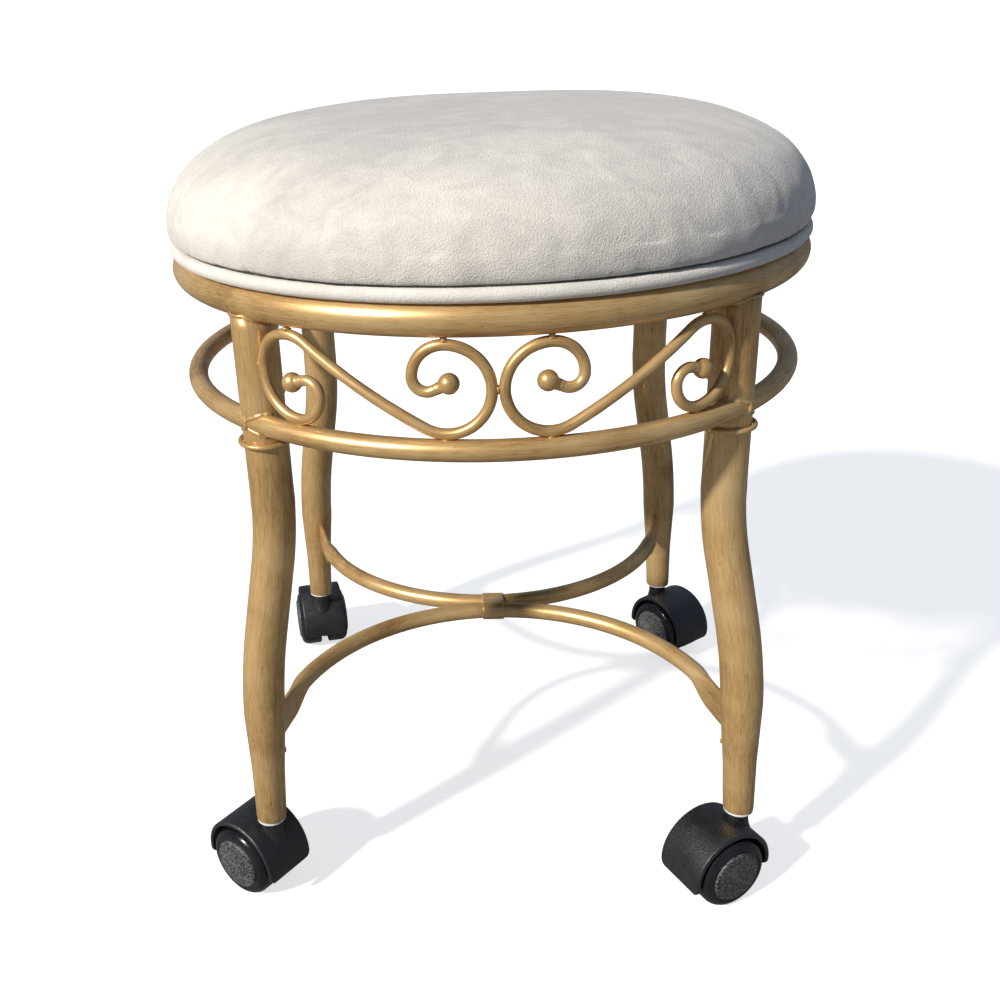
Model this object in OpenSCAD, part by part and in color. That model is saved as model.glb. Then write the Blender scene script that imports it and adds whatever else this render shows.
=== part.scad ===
// Round upholstered vanity stool on four swivel twin-wheel casters.
// Millimetres, +Z up. The origin is on the floor, on the stool's vertical axis, and -Y is the front.

/* [Seat] */
// Largest radius of the upholstered seat
seat_r = 197.5; // [180:0.5:220]
// Height of the widest part of the seat above the floor
seat_bulge_z = 418.3; // [412:0.1:425]
// Rise of the crown above the widest part
seat_crown = 57.4; // [40:0.2:75]
// Thickness of the cover fabric
fabric_t = 1.2; // [0.8:0.1:1.4]
// Thickness of the plywood seat board
board_t = 12; // [9:1:13]
// Diameter of the piping round the seat
welt_d = 8; // [6:0.5:8]

/* [Rings] */
// Centreline radius of the seat ring
ring_r = 188; // [186:0.5:190]
// Diameter of the seat ring tube
ring_d = 19; // [16:0.5:20]
// Height of the seat ring's centreline
ring_z = 390.5; // [388:0.5:391]
// Centreline radius of the lower ring
low_ring_r = 190; // [188:0.5:191]
// Diameter of the lower ring tube
low_ring_d = 12; // [10:0.5:12]
// Height of the lower ring's centreline
low_ring_z = 322.1; // [320:0.1:324]

/* [Legs] */
// Diameter of the leg tube
leg_d = 25.4; // [22:0.1:26]
// Wall of the leg tube
leg_wall = 1.5; // [1.2:0.1:1.8]
// Distance of the upright part of a leg from the stool's axis
leg_top_r = 183.5; // [181:0.5:185]
// Diameter at the foot of a leg
foot_d = 19; // [18:0.5:20]
// Slope of the splayed middle part of a leg
splay = 13.5; // [10:0.5:15]
// Slope of the lowest part of a leg
foot_splay = 3; // [2:0.5:4]

/* [Scrolls] */
// Diameter of the scroll wire
wire_d = 6; // [5:0.5:6]
// Diameter of the ball at a scroll's end
ball_d = 11; // [9:0.5:12]
// Radius of the large loop of a scroll
loop_r = 23.4; // [22:0.1:23.5]

/* [Stretchers] */
// Centreline radius of a curved stretcher
stretch_r = 139; // [137:0.5:140]
// Diameter of the stretcher tube
stretch_d = 11.5; // [10:0.5:11.5]
// Height of the stretchers' centreline above the floor
stretch_z = 123; // [118:1:130]

/* [Casters] */
// Height of a caster under the leg
caster_h = 58; // [58:0.5:60]
// Diameter of a caster wheel
wheel_d = 48; // [46:1:49]
// Width over both wheels of a caster
wheels_w = 44; // [42:1:46]
// Offset of the wheel axle from the swivel axis
trail = 16; // [14:0.5:18]
// Direction in which the front left caster trails
yaw_front_left = 143; // [0:1:360]
// Direction in which the front right caster trails
yaw_front_right = 208; // [0:1:360]
// Direction in which the rear left caster trails
yaw_rear_left = 103; // [0:1:360]
// Direction in which the rear right caster trails
yaw_rear_right = 305; // [0:1:360]

/* [Hidden] */
$fn = 96;

ivory = "#ded6c4";
gold = "#a8834c";
black = "#26272b";
steel = "silver";

// Azimuth of each leg about the stool's axis, and the yaw of the caster under it
az_front_left = 225;
az_front_right = 315;
az_rear_left = 135;
az_rear_right = 45;
leg_azimuths = [az_front_left, az_front_right, az_rear_left, az_rear_right];

// Heights of the seat parts, from the seat ring up
ring_top = ring_z + ring_d / 2;
ring_bottom = ring_z - ring_d / 2;
board_z = ring_top + fabric_t;
board_top = board_z + board_t;
board_r = seat_r - 9.5;
lip_r = 172;
welt_r = seat_r - welt_d / 2;
welt_z = ring_top + 3.05;
crease_r = welt_r - welt_d / 2;
dust_r = 158;
dust_t = 0.6;

// Lugs that hold the seat board
lug_t = 3;
lug_w = 24;
lug_in = 158;
lug_screw_r = 166;
screw_r = 2;
screw_head_r = 4;
screw_head_t = 2.5;

// Leg centreline in its own upright plane, as [distance from the axis, height]
bend_r = 193;
sweep_r = 304;
bend_z = 275;
splay_len = 41;
bend_c = [leg_top_r + bend_r, bend_z];
splay_top = [bend_c[0] - bend_r * cos(splay), bend_z - bend_r * sin(splay)];
splay_low = splay_top + splay_len * [sin(splay), -cos(splay)];
sweep_c = splay_low - sweep_r * [cos(splay), sin(splay)];
sweep_low = sweep_c + sweep_r * [cos(foot_splay), sin(foot_splay)];
foot_len = (sweep_low[1] - caster_h) / cos(foot_splay);
foot_r = sweep_low[0] + foot_len * sin(foot_splay);
foot_knee = 35;
knee_d = 20.5;
leg_ear = 3;
leg_top_z = ring_bottom + leg_ear;
bore_r = leg_d / 2 - leg_wall;
foot_axis = [-sin(foot_splay), cos(foot_splay)];
leg_curve = concat(
    arc_points(sweep_c, sweep_r, foot_splay, splay, 5),
    arc_points(bend_c, bend_r, 180 + splay, 180, 6)
);
leg_line = concat(
    [for (s = [-1, foot_knee]) [foot_r, caster_h] + s * foot_axis],
    leg_curve,
    [[leg_top_r, leg_top_z]]
);
leg_radii = [foot_d / 2, knee_d / 2, for (i = [3 : len(leg_line)]) leg_d / 2];
bore_line = concat(
    [[foot_r, caster_h] + foot_knee * foot_axis],
    leg_curve,
    [[leg_top_r, ring_bottom - 2]]
);
socket_r = 7;
socket_len = 36;
flange_t = 1.2;

// Screws in the inner side of each leg, as [height, distance of the leg's axis, leg radius]
leg_screw_r = 1.9;
leg_screw_spots = [
    [374, leg_top_r, leg_d / 2],
    [336, leg_top_r, leg_d / 2],
    [103, foot_r - (103 - caster_h) * tan(foot_splay), 10.8]
];

// Collars: a wire ring round each leg under the lower ring
collar_wire_r = 1.5;
collar_r = leg_d / 2 + collar_wire_r + 0.05;
collar_z = 310;

// Scrolls lie on the cylinder that the lower ring lies on. A scroll is a chain of arcs
// [radius, turn] and lines [length, 0], turn > 0 to the left, in (arc length, height)
wire_r = wire_d / 2;
loop_s = loop_r + wire_r + 0.2;
loop_z = low_ring_z + low_ring_d / 2 + wire_r + loop_r;
outer_chain = [
    [loop_r, 208], [742, 6], [20, -124], [2, 0], [24.2, -90], [14.5, -90], [8, -105], [3, 0]
];
inner_chain = [[17, -90], [7.5, -115], [4, 0]];
arc_step = 16;
wire_sides = 8;
nugget_r = 2.6;
stub_r = 2.4;
stub_h = 5;

// Stretcher arcs bow towards each other and meet under the clamp
stretch_gap = 0.1;
stretch_y = (stretch_d + stretch_gap) / 2;
stretch_c = stretch_r + stretch_y;
stretch_end = 14;
plate_len = 25;
plate_h = 22;
plate_t = 3.5;
clamp_len = 15.5;
clamp_wall = 1.1;

// Caster parts, in a frame whose Z is the swivel axis and whose X points the way it trails
wheel_r = wheel_d / 2;
hood_r = wheel_r + 4.5;
hood_wall = 2.5;
hood_w = 36;
hood_from = -14;
hood_sweep = 205;
web_t = 5;
web_low = wheel_r - 7;
neck_r = 6.75;
neck_gap = 0.3;
neck_top = caster_h - flange_t - neck_gap;
stem_r = 4;
stem_low = 47.5;
stem_top = caster_h + socket_len - 2;
swivel_play = 0.05;
axle_r = 2.5;
axle_half = 19;
wheel_play = 0.05;
wheel_in = 3.3;
wheel_out = wheels_w / 2;

// Points of an arc, and of a chain of arcs and lines that starts at p with a heading
function arc_points(c, r, from, to, n) =
    [for (i = [0 : n]) c + r * [cos(from + (to - from) * i / n), sin(from + (to - from) * i / n)]];
function step_end(p, h, seg) =
    seg[1] == 0 ? p + seg[0] * [cos(h), sin(h)]
    : p + seg[0] * sign(seg[1]) * [sin(h + seg[1]) - sin(h), cos(h) - cos(h + seg[1])];
function step_points(p, h, seg) =
    let (n = seg[1] == 0 ? 1 : max(1, ceil(abs(seg[1]) / arc_step)))
    seg[0] > 100 ? [for (i = [1 : 8]) step_end(p, h, [seg[0], seg[1] * i / 8])]
    : [for (i = [1 : n]) seg[1] == 0 ? step_end(p, h, seg) : step_end(p, h, [seg[0], seg[1] * i / n])];
function chain_points(p, h, segs, i = 0) =
    i >= len(segs) ? []
    : concat(step_points(p, h, segs[i]),
             chain_points(step_end(p, h, segs[i]), h + segs[i][1], segs, i + 1));
function reversed(list) = [for (i = [len(list) - 1 : -1 : 0]) list[i]];

// A point of the unrolled scroll, side = 1 right and -1 left, on the cylinder
function on_cylinder(p, side) =
    let (az = -90 + side * p[0] / low_ring_r * 180 / PI)
    [low_ring_r * cos(az), low_ring_r * sin(az), p[1]];
loop_top = [loop_s, loop_z + loop_r];
inner_points = chain_points(loop_top, 0, inner_chain);
outer_points = chain_points(loop_top, 180, outer_chain);
scroll_path = concat(reversed(inner_points), [loop_top], outer_points);
function chain_end(p, h, segs, n, i = 0) =
    i >= n ? p : chain_end(step_end(p, h, segs[i]), h + segs[i][1], segs, n, i + 1);
outer_side = chain_end(loop_top, 180, outer_chain, 3);
outer_low = chain_end(loop_top, 180, outer_chain, 5);
outer_top = outer_side - [outer_chain[2][0], 0];
function ball_centre(points) =
    let (n = len(points), d = points[n - 1] - points[n - 2])
    points[n - 1] + (ball_d / 2 - 0.4) * d / norm(d);
ball_spots = [ball_centre(inner_points), ball_centre(outer_points)];

// A round bar of varying radius swept along points. Each ring starts in the direction of its ref
module swept(points, radii, refs, sides) {
    n = len(points);
    rings = [for (i = [0 : n - 1])
        let (
            t0 = points[min(i + 1, n - 1)] - points[max(i - 1, 0)],
            t = t0 / norm(t0),
            v = refs[i] - (refs[i] * t) * t,
            a = v / norm(v),
            b = cross(t, a)
        )
        for (k = [0 : sides - 1])
            points[i] + radii[i] * (cos(360 * k / sides) * a + sin(360 * k / sides) * b)];
    walls = [for (i = [0 : n - 2]) for (k = [0 : sides - 1])
        let (k2 = (k + 1) % sides)
        [i * sides + k, (i + 1) * sides + k, (i + 1) * sides + k2, i * sides + k2]];
    start_cap = [[for (k = [0 : sides - 1]) k]];
    end_cap = [[for (k = [sides - 1 : -1 : 0]) (n - 1) * sides + k]];
    polyhedron(rings, concat(walls, start_cap, end_cap), convexity = 8);
}

// Part of a torus about the Z axis
module ring_solid(radius, tube_r, from = 0, sweep = 360) {
    rotate([0, 0, from]) rotate_extrude(angle = sweep) translate([radius, 0]) circle(r = tube_r);
}

// ---------------------------------------------------------------- seat

// Outline of the upholstery moved inwards by inset, from the crease over the bulge to the crown
function seat_outline(inset) = concat(
    [[crease_r - inset, board_z + 4.3], [crease_r + 1.5 - inset, board_z + 6.4 + inset]],
    [[crease_r + 4.5 - inset, board_z + 8 + inset], [crease_r + 7 - inset, board_z + 12]],
    [for (t = [0 : 6 : 84])
        [(seat_r - inset) * pow(cos(t), 0.49), seat_bulge_z + (seat_crown - inset) * pow(sin(t), 0.96)]],
    [[0, seat_bulge_z + seat_crown - inset]]
);

module seat_board() {
    color("burlywood")
        difference() {
            translate([0, 0, board_z]) cylinder(r = board_r, h = board_t);
            for (a = [0 : 90 : 270])
                rotate([0, 0, a])
                    translate([lug_screw_r, 0, board_z - 1])
                        cylinder(r = screw_r, h = 9);
        }
}

module foam_pad() {
    outline = [for (p = seat_outline(fabric_t)) if (p[1] > board_top) p];
    color("khaki")
        rotate_extrude()
            polygon(concat([[0, board_top], [outline[0][0], board_top]], outline));
}

module cushion_cover() {
    outer = concat([[lip_r, ring_top], [crease_r, ring_top]], seat_outline(0));
    inner = concat([[lip_r, board_z], [crease_r - fabric_t, board_z]], seat_outline(fabric_t));
    color(ivory)
        rotate_extrude()
            polygon(concat(outer, reversed(inner)));
}

module welt_cord() {
    color(ivory)
        translate([0, 0, welt_z])
            ring_solid(welt_r, welt_d / 2);
}

module dust_cover() {
    color(black)
        translate([0, 0, board_z - dust_t])
            cylinder(r = dust_r - 1, h = dust_t);
}

// ---------------------------------------------------------------- rings and lugs

module seat_ring() {
    color(gold)
        difference() {
            translate([0, 0, ring_z]) ring_solid(ring_r, ring_d / 2);
            translate([0, 0, ring_z]) ring_solid(ring_r, ring_d / 2 - leg_wall);
            for (a = [0 : 90 : 270])
                rotate([0, 0, a + 20])
                    translate([ring_r - ring_d, 0, ring_z])
                        rotate([0, 90, 0]) cylinder(r = 2, h = ring_d);
        }
}

module seat_lugs() {
    color(gold)
        for (a = [0 : 90 : 270])
            rotate([0, 0, a])
                difference() {
                    translate([lug_in, -lug_w / 2, ring_top - lug_t])
                        cube([ring_r - 4 - lug_in, lug_w, lug_t]);
                    rotate([0, 0, -10])
                        translate([0, 0, ring_z])
                            ring_solid(ring_r, ring_d / 2, 0, 20);
                    translate([lug_screw_r, 0, ring_top - lug_t - 1])
                        cylinder(r = screw_r, h = lug_t + 2);
                }
}

module seat_screws() {
    color(steel)
        for (a = [0 : 90 : 270])
            rotate([0, 0, a])
                translate([lug_screw_r, 0, ring_top - lug_t]) {
                    translate([0, 0, -screw_head_t]) cylinder(r = screw_head_r, h = screw_head_t);
                    cylinder(r = screw_r, h = lug_t + fabric_t + 8);
                }
}

// A quarter of the lower ring, cut to the legs at both ends
module lower_ring_arc(azimuth) {
    color(gold)
        rotate([0, 0, azimuth])
            difference() {
                translate([0, 0, low_ring_z]) ring_solid(low_ring_r, low_ring_d / 2, -44, 88);
                translate([0, 0, low_ring_z]) ring_solid(low_ring_r, low_ring_d / 2 - 1.2, -44.5, 89);
                for (side = [-45, 45])
                    rotate([0, 0, side])
                        translate([leg_top_r, 0, low_ring_z - low_ring_d])
                            cylinder(r = leg_d / 2, h = 2 * low_ring_d);
            }
}

// ---------------------------------------------------------------- legs

// The leg's centreline thickened to a bar
module leg_bar(line, radii, sides) {
    points = [for (p = line) [p[0], 0, p[1]]];
    swept(points, radii, [for (p = line) [0, 1, 0]], sides);
}

module leg(azimuth) {
    color(gold)
        rotate([0, 0, azimuth])
            difference() {
                leg_bar(leg_line, leg_radii, 32);
                leg_bar(bore_line, [knee_d / 2 - leg_wall, for (i = [2 : len(bore_line)]) bore_r], 20);
                translate([foot_r, 0, caster_h - 5]) cylinder(r = socket_r, h = 5 + socket_len + 4);
                translate([foot_r - 20, -20, caster_h - 10]) cube([40, 40, 10]);
                rotate([0, 0, -8])
                    translate([0, 0, ring_z])
                        ring_solid(ring_r, ring_d / 2, 0, 16);
                for (s = leg_screw_spots)
                    translate([s[1] - s[2] - 3, 0, s[0]])
                        rotate([0, 90, 0]) cylinder(r = leg_screw_r, h = 8);
            }
}

module leg_collars() {
    color(gold)
        for (a = leg_azimuths)
            rotate([0, 0, a])
                translate([leg_top_r, 0, collar_z])
                    ring_solid(collar_r, collar_wire_r);
}

module leg_screws() {
    color(gold)
        for (a = leg_azimuths)
            rotate([0, 0, a])
                for (s = leg_screw_spots)
                    translate([s[1] - s[2], 0, s[0]])
                        rotate([0, 90, 0]) {
                            translate([0, 0, -2.2]) cylinder(r1 = 2, r2 = 3.4, h = 0.8);
                            translate([0, 0, -1.4]) cylinder(r = 3.4, h = 1.7);
                            cylinder(r = leg_screw_r, h = 4);
                        }
}

// ---------------------------------------------------------------- scrolls

// side = 1 is the right scroll seen from outside at the front, turn = 180 moves it to the rear
module scroll(side, turn) {
    points = [for (p = scroll_path) on_cylinder(p, side)];
    color(gold)
        rotate([0, 0, turn])
            swept(points, [for (p = points) wire_r], [for (p = points) [p[0], p[1], 0]], wire_sides);
}

module scroll_balls(turn) {
    color(gold)
        rotate([0, 0, turn])
            for (side = [-1, 1])
                for (p = ball_spots)
                    translate(on_cylinder(p, side)) sphere(d = ball_d, $fn = 48);
}

// Weld nuggets: both scrolls together, each scroll to the rings and to the leg
module scroll_welds() {
    low_z = low_ring_z + low_ring_d / 2 + 0.3;
    side_spots = [[loop_s, low_z], [outer_low[0], low_z], outer_side + [wire_r - 0.6, 0]];
    color(gold)
        for (turn = [0, 180])
            rotate([0, 0, turn]) {
                translate(on_cylinder([0, loop_z], 1)) sphere(r = nugget_r, $fn = 32);
                for (side = [-1, 1]) {
                    for (p = side_spots)
                        translate(on_cylinder(p, side)) sphere(r = nugget_r, $fn = 32);
                    for (s = [loop_s, outer_top[0]])
                        translate(on_cylinder([s, ring_bottom - stub_h + 1.6], side))
                            cylinder(r = stub_r, h = stub_h);
                }
            }
}

// ---------------------------------------------------------------- stretchers

// Solid of a stretcher's round part, centred on its own circle
module stretcher_round(tube_r) {
    translate([0, -stretch_c, stretch_z])
        ring_solid(stretch_r, tube_r, stretch_end, 180 - 2 * stretch_end);
}

// Flattened end of a stretcher, from the round part to the side of the leg
module stretcher_plate() {
    translate([stretch_r * cos(stretch_end), -stretch_c + stretch_r * sin(stretch_end), stretch_z])
        rotate([0, 0, stretch_end - 90])
            translate([-3, -plate_t / 2, -plate_h / 2])
                cube([plate_len + 3, plate_t, plate_h]);
}

module stretcher(turn) {
    color(gold)
        rotate([0, 0, turn])
            difference() {
                union() {
                    difference() {
                        stretcher_round(stretch_d / 2);
                        stretcher_round(stretch_d / 2 - 1.2);
                        translate([0, -stretch_y, stretch_z - stretch_d]) cylinder(r = 1.5, h = stretch_d);
                    }
                    stretcher_plate();
                    mirror([1, 0, 0]) stretcher_plate();
                }
                for (a = [az_front_left, az_front_right])
                    rotate([0, 0, a])
                        translate([foot_r, 0, caster_h])
                            rotate([0, -foot_splay, 0])
                                translate([0, 0, foot_knee])
                                    cylinder(r1 = knee_d / 2, r2 = leg_d / 2, h = foot_len - foot_knee);
            }
}

module stretcher_clamp() {
    outer_r = stretch_d / 2 + clamp_wall;
    color(gold)
        difference() {
            translate([-clamp_len / 2, 0, stretch_z])
                rotate([90, 0, 90])
                    linear_extrude(clamp_len) {
                        for (side = [-1, 1]) translate([side * stretch_y, 0]) circle(r = outer_r);
                        square([2 * stretch_y, 2 * outer_r], center = true);
                    }
            stretcher_round(stretch_d / 2);
            mirror([0, 1, 0]) stretcher_round(stretch_d / 2);
        }
}

// ---------------------------------------------------------------- casters

// Places a caster's own frame under the leg at an azimuth, turned to its yaw
module under_leg(azimuth, yaw) {
    translate([foot_r * cos(azimuth), foot_r * sin(azimuth), 0])
        rotate([0, 0, yaw])
            children();
}

module socket(azimuth) {
    color("white")
        under_leg(azimuth, 0)
            difference() {
                union() {
                    translate([0, 0, caster_h - flange_t]) cylinder(r = foot_d / 2 - 0.3, h = flange_t);
                    translate([0, 0, caster_h]) cylinder(r = socket_r, h = socket_len);
                }
                translate([0, 0, caster_h - flange_t - 1])
                    cylinder(r = stem_r + swivel_play, h = socket_len + flange_t + 2);
            }
}

module hood(azimuth, yaw) {
    color(black)
        under_leg(azimuth, yaw)
            difference() {
                union() {
                    translate([trail, 0, wheel_r])
                        rotate([90, 0, 0])
                            rotate([0, 0, hood_from])
                                rotate_extrude(angle = hood_sweep)
                                    translate([hood_r - hood_wall, -hood_w / 2])
                                        square([hood_wall, hood_w]);
                    difference() {
                        union() {
                            translate([0, 0, 38]) cylinder(r = neck_r, h = neck_top - 38);
                            translate([0, 0, 43]) cylinder(r1 = neck_r + 3, r2 = neck_r, h = 8);
                        }
                        translate([trail, 30, wheel_r])
                            rotate([90, 0, 0]) cylinder(r = hood_r - hood_wall, h = 60);
                    }
                    intersection() {
                        translate([trail, web_t / 2, wheel_r])
                            rotate([90, 0, 0]) cylinder(r = hood_r - 1, h = web_t);
                        translate([trail - 40, -web_t, web_low]) cube([80, 2 * web_t, 60]);
                    }
                }
                translate([0, 0, stem_low]) cylinder(r = stem_r, h = 20);
                translate([trail, web_t, wheel_r]) rotate([90, 0, 0]) cylinder(r = axle_r, h = 2 * web_t);
            }
}

module stem(azimuth, yaw) {
    color(steel)
        under_leg(azimuth, yaw) {
            translate([0, 0, stem_low]) cylinder(r = stem_r, h = stem_top - stem_low - 1);
            translate([0, 0, stem_top - 1]) cylinder(r1 = stem_r, r2 = stem_r - 1, h = 1);
        }
}

module axle(azimuth, yaw) {
    color(steel)
        under_leg(azimuth, yaw)
            translate([trail, axle_half, wheel_r])
                rotate([90, 0, 0]) cylinder(r = axle_r, h = 2 * axle_half);
}

// side = 1 is the wheel on the caster's own left, -1 the one on its right
module wheel(azimuth, yaw, side) {
    bore_r = axle_r + wheel_play;
    outline = concat(
        [[bore_r, wheel_in], [wheel_r - 1, wheel_in], [wheel_r, wheel_in + 1]],
        arc_points([wheel_r - 6, wheel_out - 7.5], 6, 0, 80, 6),
        [[17.6, wheel_out - 2.2], [17.1, wheel_out - 2.2], [16.7, wheel_out - 1.2]],
        [[15.8, wheel_out - 0.5], [0, wheel_out], [0, axle_half + 0.5], [bore_r, axle_half + 0.5]]
    );
    color(black)
        under_leg(azimuth, yaw)
            translate([trail, 0, wheel_r])
                rotate([side > 0 ? -90 : 90, 0, 0])
                    rotate_extrude() polygon(outline);
}

// ---------------------------------------------------------------- nodes

seat_board();
foam_pad();
cushion_cover();
welt_cord();
dust_cover();
seat_ring();
seat_lugs();
seat_screws();
lower_ring_arc(270);  // lower_ring_front
lower_ring_arc(0);  // lower_ring_right
lower_ring_arc(90);  // lower_ring_rear
lower_ring_arc(180);  // lower_ring_left
leg(az_front_left);  // leg_front_left
leg(az_front_right);  // leg_front_right
leg(az_rear_left);  // leg_rear_left
leg(az_rear_right);  // leg_rear_right
leg_collars();
leg_screws();
scroll(-1, 0);  // scroll_front_left
scroll(1, 0);  // scroll_front_right
scroll(1, 180);  // scroll_rear_left
scroll(-1, 180);  // scroll_rear_right
scroll_balls(0);  // scroll_balls_front
scroll_balls(180);  // scroll_balls_rear
scroll_welds();
stretcher(0);  // stretcher_front
stretcher(180);  // stretcher_rear
stretcher_clamp();
socket(az_front_left);  // socket_front_left
socket(az_front_right);  // socket_front_right
socket(az_rear_left);  // socket_rear_left
socket(az_rear_right);  // socket_rear_right
hood(az_front_left, yaw_front_left);  // hood_front_left
hood(az_front_right, yaw_front_right);  // hood_front_right
hood(az_rear_left, yaw_rear_left);  // hood_rear_left
hood(az_rear_right, yaw_rear_right);  // hood_rear_right
stem(az_front_left, yaw_front_left);  // stem_front_left
stem(az_front_right, yaw_front_right);  // stem_front_right
stem(az_rear_left, yaw_rear_left);  // stem_rear_left
stem(az_rear_right, yaw_rear_right);  // stem_rear_right
axle(az_front_left, yaw_front_left);  // axle_front_left
axle(az_front_right, yaw_front_right);  // axle_front_right
axle(az_rear_left, yaw_rear_left);  // axle_rear_left
axle(az_rear_right, yaw_rear_right);  // axle_rear_right
wheel(az_front_left, yaw_front_left, 1);  // wheel_inner_front_left
wheel(az_front_right, yaw_front_right, 1);  // wheel_inner_front_right
wheel(az_rear_left, yaw_rear_left, 1);  // wheel_inner_rear_left
wheel(az_rear_right, yaw_rear_right, 1);  // wheel_inner_rear_right
wheel(az_front_left, yaw_front_left, -1);  // wheel_outer_front_left
wheel(az_front_right, yaw_front_right, -1);  // wheel_outer_front_right
wheel(az_rear_left, yaw_rear_left, -1);  // wheel_outer_rear_left
wheel(az_rear_right, yaw_rear_right, -1);  // wheel_outer_rear_right
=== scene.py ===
"""Looks of a round upholstered vanity stool on four swivel casters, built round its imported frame.

Metres, the floor at z = 0 and -Y the front. A shape is a grid of points worked out as whole arrays: rows of
points run along a piece, and each row goes once round it.
"""

import bpy
import numpy as np
from mathutils import Matrix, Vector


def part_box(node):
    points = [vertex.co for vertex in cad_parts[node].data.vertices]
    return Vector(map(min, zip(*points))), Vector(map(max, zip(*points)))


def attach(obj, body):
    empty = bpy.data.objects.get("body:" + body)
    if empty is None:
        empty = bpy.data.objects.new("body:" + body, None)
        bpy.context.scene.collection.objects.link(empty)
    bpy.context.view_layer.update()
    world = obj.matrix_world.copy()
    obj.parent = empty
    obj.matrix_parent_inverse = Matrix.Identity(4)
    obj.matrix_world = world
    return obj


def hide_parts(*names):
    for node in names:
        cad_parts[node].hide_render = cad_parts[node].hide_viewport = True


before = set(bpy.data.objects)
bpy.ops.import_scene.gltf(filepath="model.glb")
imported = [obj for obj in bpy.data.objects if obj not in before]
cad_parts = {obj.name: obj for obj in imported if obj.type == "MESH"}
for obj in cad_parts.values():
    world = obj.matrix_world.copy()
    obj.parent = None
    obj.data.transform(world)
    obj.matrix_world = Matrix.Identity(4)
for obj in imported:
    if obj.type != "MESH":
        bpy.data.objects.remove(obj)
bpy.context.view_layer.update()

TURN = 2 * np.pi
UP = np.array([0, 0, 1.0])
CORNERS = ("front_left", "front_right", "rear_left", "rear_right")
SIDES = {"front": -90, "right": 0, "rear": 90, "left": 180}


def middle_of(node):
    """Lowest corner, highest corner and centre of a node's box, as arrays."""
    low, high = (np.array(corner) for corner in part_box(node))
    return low, high, (low + high) / 2


# ---------------------------------------------------------------- sizes taken from the frame

seat_high = middle_of("cushion_cover")[1]
SEAT_R, CROWN_Z = seat_high[0], seat_high[2]
board_low, board_high = middle_of("seat_board")[:2]
BOARD_R = board_high[0]
BOARD_Z, BOARD_TOP = board_low[2], board_high[2]
ring_low, ring_high, ring_mid = middle_of("seat_ring")
RING_TUBE = (ring_high[2] - ring_low[2]) / 2
RING_R = ring_high[0] - RING_TUBE
RING_Z = ring_mid[2]
welt_low, welt_high, welt_mid = middle_of("welt_cord")
WELT_TUBE = (welt_high[2] - welt_low[2]) / 2
WELT_R = welt_high[0] - WELT_TUBE
WELT_Z, WELT_TOP = welt_mid[2], welt_high[2]
arc_low, arc_high, arc_mid = middle_of("lower_ring_front")
ARC_TUBE = (arc_high[2] - arc_low[2]) / 2
ARC_R = -arc_low[1] - ARC_TUBE
ARC_Z = arc_mid[2]
COLLAR_Z = middle_of("leg_collars")[2][2]
DUST_R = middle_of("dust_cover")[1][0]
STRETCH_Z = middle_of("stretcher_clamp")[2][2]
CLAMP_LEN = 2 * middle_of("stretcher_clamp")[1][0]
FOOT = {c: middle_of("stem_" + c)[2] for c in CORNERS}
AXLE = {c: middle_of("axle_" + c)[2] for c in CORNERS}
FOOT_Z = middle_of("socket_front_left")[0][2] + 0.0012
FOOT_R = np.hypot(*FOOT["front_left"][:2])
AZIMUTH = {c: np.arctan2(FOOT[c][1], FOOT[c][0]) for c in CORNERS}
YAW = {c: np.arctan2(*(AXLE[c] - FOOT[c])[1::-1]) for c in CORNERS}

# ---------------------------------------------------------------- sizes of the finish work

# Upholstery outline
BULGE_Z = 0.4183
SPINE_R, SPINE_Z = 0.183, 0.436
HEM_REACH = 0.016
# Leg tube and its bends
LEG_R = 0.0127
FOOT_TUBE = 0.0095
KNEE_TUBE = 0.01025
KNEE_UP = 0.035
LEG_TOP_R = 0.1835
LEG_TOP_Z = 0.384
BEND_R, BEND_Z = 0.193, 0.275
SWEEP_R = 0.304
SPLAY_LEN = 0.041
SPLAY, FOOT_SPLAY = np.radians([13.5, 3])
SOCKET_R, SOCKET_LEN = 0.00705, 0.037
# Scrolls: arcs (radius, turn in degrees) and lines (length, 0), laid out flat and wrapped on the ring
WIRE = 0.003
BALL = 0.0055
LOOP_R = 0.0234
LOOP_S = LOOP_R + WIRE + 0.0002
LOOP_Z = ARC_Z + ARC_TUBE + WIRE + LOOP_R
OUTER_RUNS = (
    (LOOP_R, 208), (0.742, 6), (0.020, -124), (0.002, 0),
    (0.0242, -90), (0.0145, -90), (0.008, -105), (0.003, 0),
)
INNER_RUNS = ((0.017, -90), (0.0075, -115), (0.004, 0))
# Stretchers
STRETCH_R = 0.139
STRETCH_TUBE = 0.00575
STRETCH_Y = STRETCH_TUBE + 0.00005
PLATE_H, PLATE_T = 0.011, 0.00175
# Casters, in their own frame: X the way they trail, Z the swivel axis
TRAIL, WHEEL_R = 0.016, 0.024
FENDER_R, FENDER_T, FENDER_W = 0.02725, 0.0025, 0.036
NECK_R, NECK_TOP = 0.00675, 0.0565


# ---------------------------------------------------------------- array tools

def unit(v):
    """Vectors scaled to length 1."""
    return v / np.linalg.norm(v, axis=-1, keepdims=True)


def ease(x):
    """Smooth step: 3x^2 - 2x^3 between 0 and 1, flat outside."""
    x = np.clip(x, 0, 1)
    return x * x * (3 - 2 * x)


def around(sides):
    """Angles that go once round, without the last."""
    return np.linspace(0, TURN, sides, endpoint=False)


def polar(angle):
    """(cos, sin) of an array of angles."""
    return np.stack([np.cos(angle), np.sin(angle)], -1)


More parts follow.
